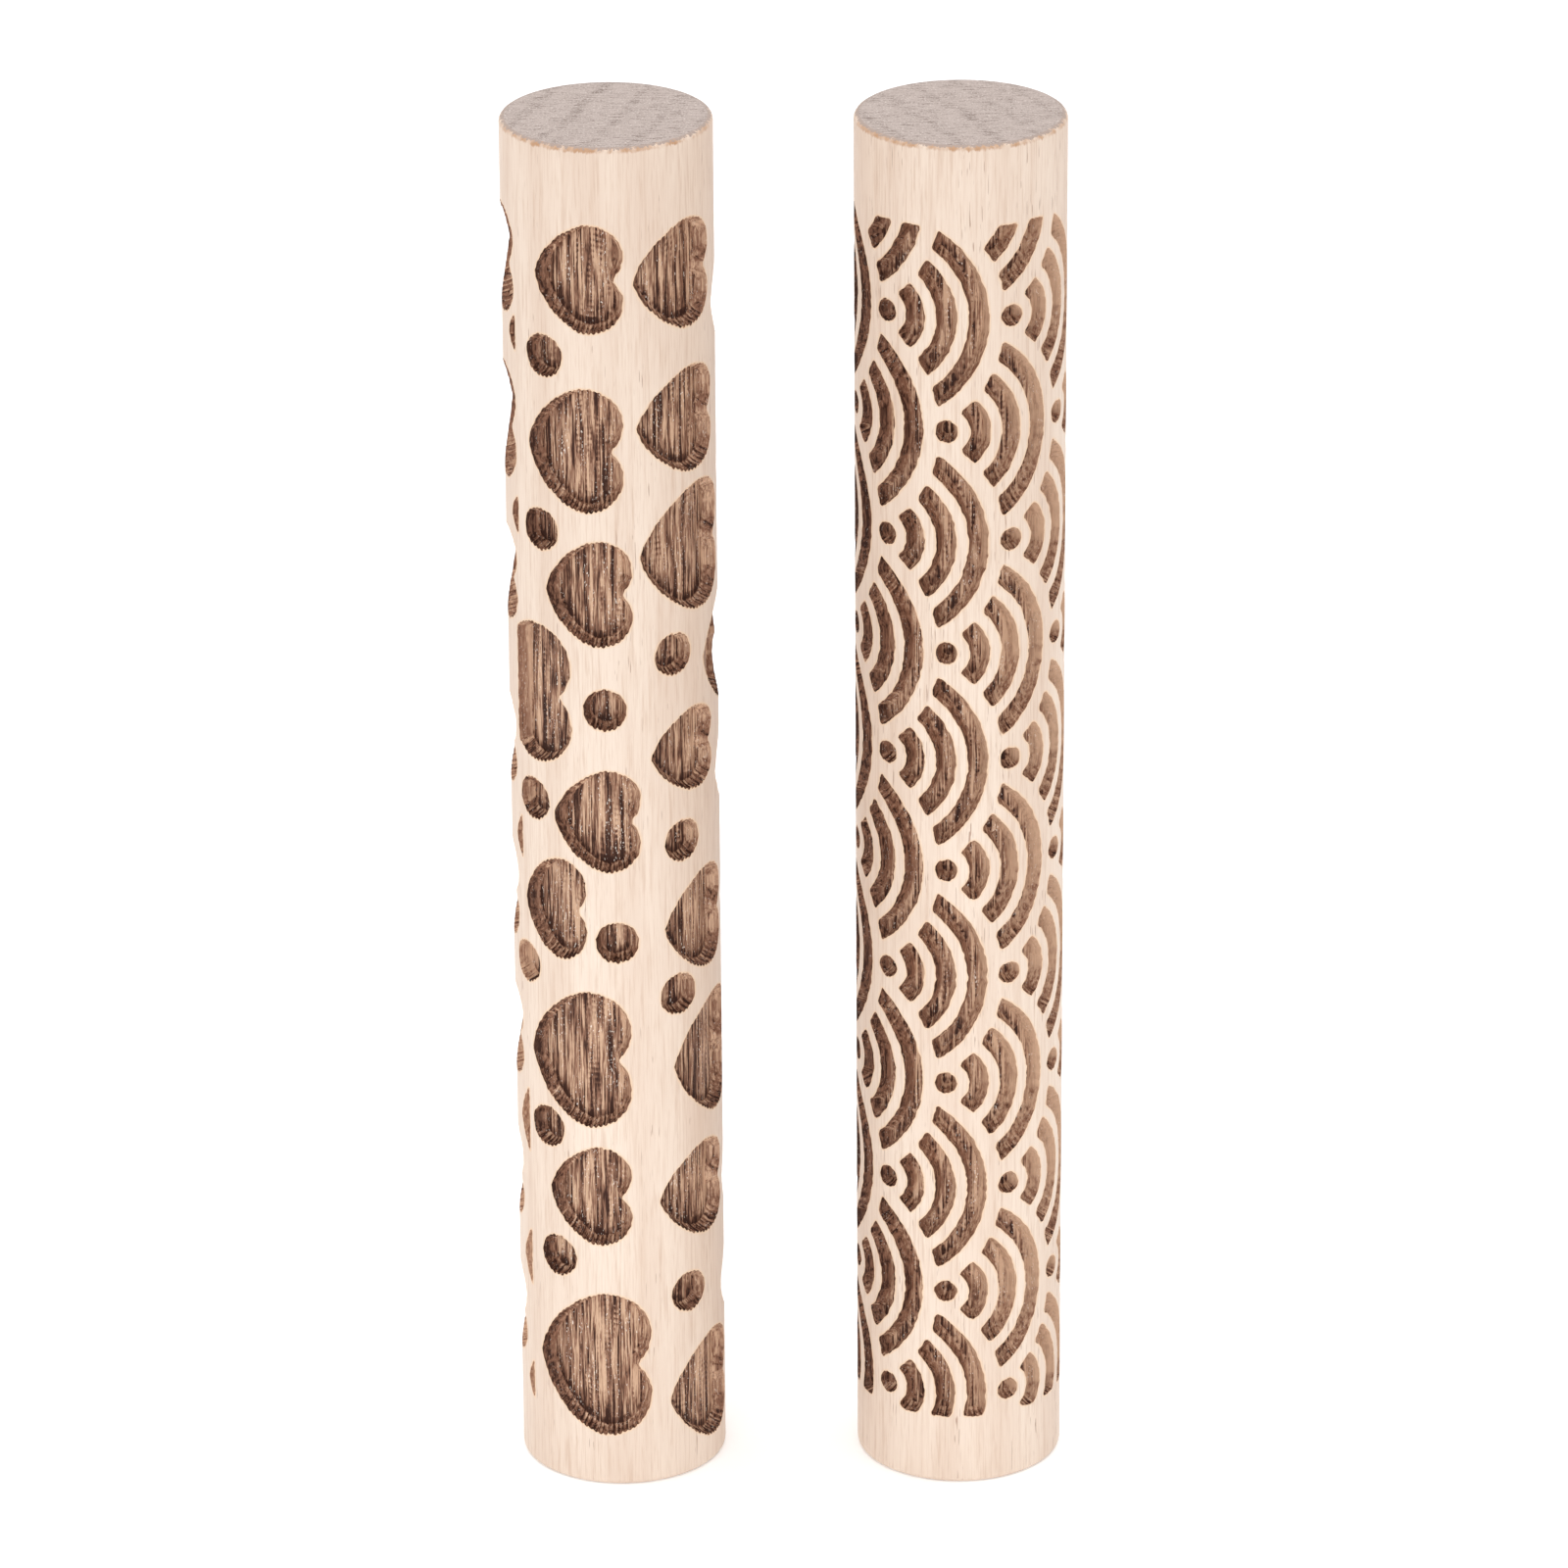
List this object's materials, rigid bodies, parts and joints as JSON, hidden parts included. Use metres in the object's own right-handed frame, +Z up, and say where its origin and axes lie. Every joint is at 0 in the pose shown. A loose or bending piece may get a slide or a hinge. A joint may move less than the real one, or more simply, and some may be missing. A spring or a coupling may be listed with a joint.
{
  "type": "clay texture roller",
  "caption": "Plain round wooden rollers with sunk hearts and dots, and sunk overlapping waves, for pressing relief into clay.",
  "frame": {"origin": "on the surface the two rollers stand on, midway between their axes", "axes": "+Z up along both rollers, +X from the heart roller to the wave roller, -Y towards the front"},
  "size_m": [0.0584, 0.022, 0.152],
  "materials": {
    "beech_hearts": "sanded bare beech, sunk pattern scorched brown",
    "beech_waves": "sanded bare beech, sunk pattern scorched brown"
  },
  "bodies": {
    "root": {"heart_roller": "beech_hearts", "wave_roller": "beech_waves"}
  },
  "joints": []
}
